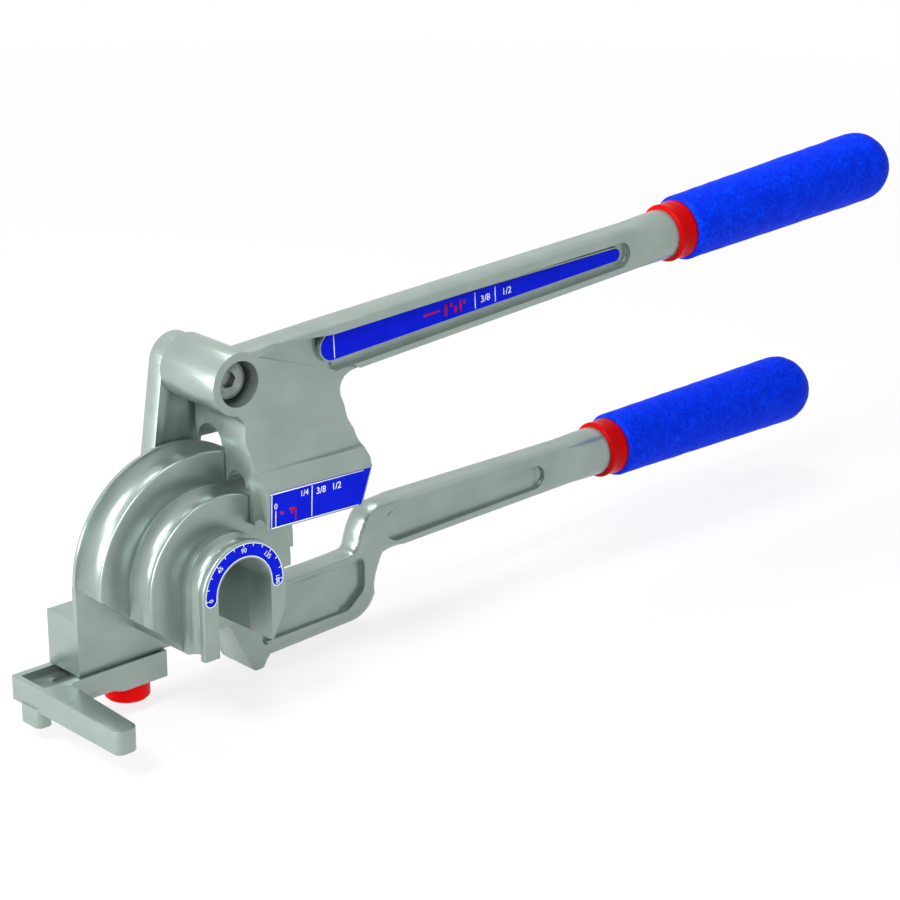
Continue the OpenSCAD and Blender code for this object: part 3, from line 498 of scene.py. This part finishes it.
def inkBars(rows):
    # each row is centre x, centre z, width, height, turn in degrees; every one is a thin closed block
    unit = np.array([(x, y, z) for z in (0, 1) for y in (-0.5, 0.5) for x in (-0.5, 0.5)])
    quads = np.array([(0, 2, 3, 1), (4, 5, 7, 6), (0, 1, 5, 4), (2, 6, 7, 3), (0, 4, 6, 2), (1, 3, 7, 5)])
    rows = np.array(rows, float)
    turn = np.radians(rows[:, 4])
    x = unit[None, :, 0] * rows[:, 2:3]
    y = unit[None, :, 1] * rows[:, 3:4]
    points = np.stack([rows[:, 0:1] + x * np.cos(turn)[:, None] - y * np.sin(turn)[:, None],
                       rows[:, 1:2] + x * np.sin(turn)[:, None] + y * np.cos(turn)[:, None],
                       np.broadcast_to(unit[None, :, 2] * ink["rise"], x.shape)], -1)
    faces = (quads[None] + 8 * np.arange(len(rows))[:, None, None]).reshape(-1, 4)
    return points.reshape(-1, 3), [tuple(f) for f in faces.tolist()]


def inkFigure(text, x, z, height, turn=0.0):
    # a figure's outline, swollen by a share of its height and raised as the bars are, turned about its middle
    curve = bpy.data.curves.new("figure", "FONT")
    curve.body, curve.size = text, height * ink["sizePerHeight"]
    curve.align_x, curve.align_y = "CENTER", "CENTER"
    curve.extrude, curve.offset = ink["rise"] / 2, height * ink["swellPerHeight"]
    curve.resolution_u = ink["curveSteps"]
    holder = bpy.data.objects.new("figure", curve)
    scene.collection.objects.link(holder)
    mesh = bpy.data.meshes.new_from_object(holder.evaluated_get(bpy.context.evaluated_depsgraph_get()))
    bpy.data.objects.remove(holder)
    mesh.transform(Matrix.Translation((x, z, ink["rise"] / 2)) @ Matrix.Rotation(math.radians(turn), 4, "Z"))
    points = np.zeros(len(mesh.vertices) * 3)
    mesh.vertices.foreach_get("co", points)
    faces = [tuple(p.vertices) for p in mesh.polygons]
    return points.reshape(-1, 3), faces


def inkBand(centre, radius, width, first, last, steps=48):
    # an arc of even width about a centre, as a closed block: its four corners are carried along the circle
    angle = np.radians(np.linspace(first, last, steps))
    ring = np.stack([np.cos(angle), np.sin(angle)], -1)
    inner, outer = radius - width / 2, radius + width / 2
    corners = [(inner, 0), (outer, 0), (outer, ink["rise"]), (inner, ink["rise"])]
    points = np.array([[(centre[0] + r * c[0], centre[1] + r * c[1], h) for r, h in corners] for c in ring])
    n = len(corners)
    faces = [(i * n + k, i * n + (k + 1) % n, (i + 1) * n + (k + 1) % n, (i + 1) * n + k)
             for i in range(steps - 1) for k in range(n)]
    faces += [(3, 2, 1, 0), tuple((steps - 1) * n + k for k in range(n))]
    return points.reshape(-1, 3), faces


def printed(name, parts, place, depth, body, material):
    # the parts of one print become one mesh, whose face numbers go on from part to part
    points, faces, count = [], [], 0
    for p, f in parts:
        points.append(p)
        faces += [tuple(i + count for i in face) for face in f]
        count += len(p)
    mesh = bpy.data.meshes.new(name)
    mesh.from_pydata(np.vstack(points) * mm, [], faces)
    mesh.transform(place @ Matrix.Translation((0, depth * mm, 0)) @ facing)
    tidied(mesh)
    return newPiece(name, mesh, body, material)


# degree scale, in millimetres: a white edge, ticks at every 15 degrees and the degrees of bend
degree = {"inner": 11.8, "outer": 16.4, "edge": 0.32, "endSteps": 24, "tick": (0.34, 1.0), "tickStep": 15,
          "tickGap": 0.1, "figure": 1.7, "figureDrop": 0.78, "figures": (0, 45, 90, 135, 180), "depth": 0.04}


def degreePrint():
    # a bend of some degrees stands at 180 less that many; two half circles and two round ends make the edge
    d = degree
    middle, half = (d["inner"] + d["outer"]) / 2, (d["outer"] - d["inner"]) / 2
    parts = [inkBand((0, 0), d["outer"], d["edge"], 0, 180), inkBand((0, 0), d["inner"], d["edge"], 0, 180),
             inkBand((middle, 0), half, d["edge"], 180, 360, d["endSteps"]),
             inkBand((-middle, 0), half, d["edge"], 180, 360, d["endSteps"])]
    width, length = d["tick"]
    r = d["outer"] - length / 2 - d["tickGap"]
    ticks = []
    for turn in range(180, -1, -d["tickStep"]):
        ticks.append((r * math.cos(math.radians(turn)), r * math.sin(math.radians(turn)), length, width, turn))
    parts.append(inkBars(ticks))
    r = d["outer"] - length - d["figure"] * d["figureDrop"]
    for value in d["figures"]:
        turn = math.radians(180 - value)
        parts.append(inkFigure(str(value), r * math.cos(turn), r * math.sin(turn), d["figure"], 90 - value))
    printed("degreeFigures", parts, Matrix.Identity(4), d["depth"], "form", finish["whiteInk"])


degreePrint()

# labels on the shoe and its handle, in millimetres from the left end and the base line, which rises by slope:
# bars give their middle, width and height, and figures their middle and height
shoeLabel = {"left": 12.6, "base": 18.1, "slope": 0.0, "depth": 1.9,
             "white": [(1.9, 3.1, 0.36, 6.0), (17.6, 6.2, 0.36, 11.0), (20.0, 12.23, 41.0, 0.34),
                       (0.17, 6.2, 0.34, 12.4), (19.2, 0.17, 38.4, 0.34)],
             "figures": [("0", 1.9, 7.6, 2.1), ("1/4", 14.2, 9.8, 2.1), ("3/8", 21.6, 9.2, 2.4),
                         ("1/2", 28.4, 9.2, 2.4)],
             "red": [(4.6, 4.9, 1.3, 1.2), (9.2, 5.4, 2.6, 1.0), (10.6, 3.2, 0.5, 4.6), (9.0, 4.2, 0.9, 0.9)]}
handleLabel = {"left": 36.2, "base": 1.84, "slope": (-0.4 - 1.84) / (177.0 - 36.2), "depth": 13.3,
               "white": [(5.2, 0, 0.4, 8.6), (70.3, 0, 0.4, 6.1), (80.0, 0, 0.4, 5.7)],
               "figures": [("3/8", 75.2, -0.3, 2.6), ("1/2", 85.6, -0.2, 2.6)],
               "red": [(49.8, 0.4, 7.5, 0.7), (56.4, 0, 1.2, 4.4), (59.0, 1.4, 1.1, 1.6),
                       (61.0, -0.8, 1.1, 2.4), (63.4, 0, 0.9, 4.4), (65.2, 1.0, 0.9, 1.6)]}


def printLabel(name, label, place):
    # a mark stands at the left end plus its x, and at the base plus the slope times its x plus its z
    def placed(x, z):
        # from the label's own measures to the casting's
        return label["left"] + x, label["base"] + label["slope"] * x + z

    def bars(rows):
        # level bars, each at its place
        return inkBars([(*placed(x, z), width, height, 0) for x, z, width, height in rows])

    figures = [inkFigure(text, *placed(x, z), height) for text, x, z, height in label["figures"]]
    printed(name + "Figures", [bars(label["white"])] + figures, place, label["depth"], "shoe_handle",
            finish["whiteInk"])
    printed(name + "RedMarks", [bars(label["red"])], place, label["depth"], "shoe_handle", finish["redInk"])


printLabel("shoe", shoeLabel, shoePlace)
printLabel("handle", handleLabel, armPlace)
print("labels printed")

# studio, in metres: a white board under the tool, which the camera sees faintly by the tool and not at all
# further out, so that it keeps the shadow, shows no horizon and hides no handle that hangs below it
stage = {"floorZ": -0.0536, "floorSize": 4.0, "board": "#f2f2f2", "worldLight": 0.45, "nearClear": 0.8,
         "fade": (0.3, 1.1)}


def seenDirectly(tree):
    # 1 for a ray from the camera or off a gloss, and 0 for any other: the greater of the two flags
    ray = addNode(tree, "ShaderNodeLightPath")
    return addNode(tree, "ShaderNodeMath", {"operation": "MAXIMUM"},
                   {0: ray.outputs["Is Camera Ray"], 1: ray.outputs["Is Glossy Ray"]}).outputs[0]


def layBoard():
    # painted board, matt white: the clear share is 1 for direct rays, times a rise with the distance outwards
    s = stage
    mesh = bpy.data.meshes.new("studioFloor")
    r, z = s["floorSize"], s["floorZ"]
    mesh.from_pydata([(-r, -r, z), (r, -r, z), (r, r, z), (-r, r, z)], [], [(0, 1, 2, 3)])
    floor = bpy.data.objects.new("studioFloor", mesh)
    scene.collection.objects.link(floor)
    material, tree, place = startMaterial("paleBoard")
    away = addNode(tree, "ShaderNodeVectorMath", {"operation": "LENGTH"}, {"Vector": place})
    near, far = s["fade"]
    rise = addNode(tree, "ShaderNodeMapRange",
                   {"From Min": near, "From Max": far, "To Min": s["nearClear"], "To Max": 1.0},
                   {"Value": away.outputs["Value"]})
    share = addNode(tree, "ShaderNodeMath", {"operation": "MULTIPLY"},
                    {0: seenDirectly(tree), 1: rise.outputs[0]})
    board = addNode(tree, "ShaderNodeBsdfDiffuse", {"Color": srgb(s["board"])})
    clear = addNode(tree, "ShaderNodeBsdfTransparent")
    endMaterial(tree, addNode(tree, "ShaderNodeMixShader", None,
                              {0: share.outputs[0], 1: board.outputs[0], 2: clear.outputs[0]}))
    mesh.materials.append(material)


def lightWorld():
    # full white to direct rays, and a weaker white light to all others
    world = bpy.data.worlds.new("studioWorld")
    scene.world = world
    world.use_nodes = True
    tree = world.node_tree
    tree.nodes.clear()
    fill = addNode(tree, "ShaderNodeBackground", {"Color": (1, 1, 1, 1), "Strength": stage["worldLight"]})
    white = addNode(tree, "ShaderNodeBackground", {"Color": (1, 1, 1, 1), "Strength": 1.0})
    both = addNode(tree, "ShaderNodeMixShader", None,
                   {0: seenDirectly(tree), 1: fill.outputs[0], 2: white.outputs[0]})
    addNode(tree, "ShaderNodeOutputWorld", links={"Surface": both.outputs[0]})


# soft lamps: place and size in metres, power in watts
lamps = {"key": ((-0.6, -0.2, 0.75), 0.35, 8.0), "left": ((-0.9, 0.3, 0.25), 0.6, 10.0),
         "rim": ((0.2, 0.35, 1.0), 0.5, 4.0)}
lampAim = (0.1, 0.02, 0.02)


def hangLamps():
    # each lamp is a round light that faces the aim
    for name, (spot, size, power) in lamps.items():
        light = bpy.data.lights.new(name + "Softbox", "AREA")
        light.shape, light.size, light.energy = "DISK", size, power
        lamp = bpy.data.objects.new(name + "Softbox", light)
        lamp.location = spot
        lamp.rotation_euler = (Vector(lampAim) - Vector(spot)).to_track_quat("-Z", "Y").to_euler()
        scene.collection.objects.link(lamp)


layBoard()
lightWorld()
hangLamps()
print("studio lit")
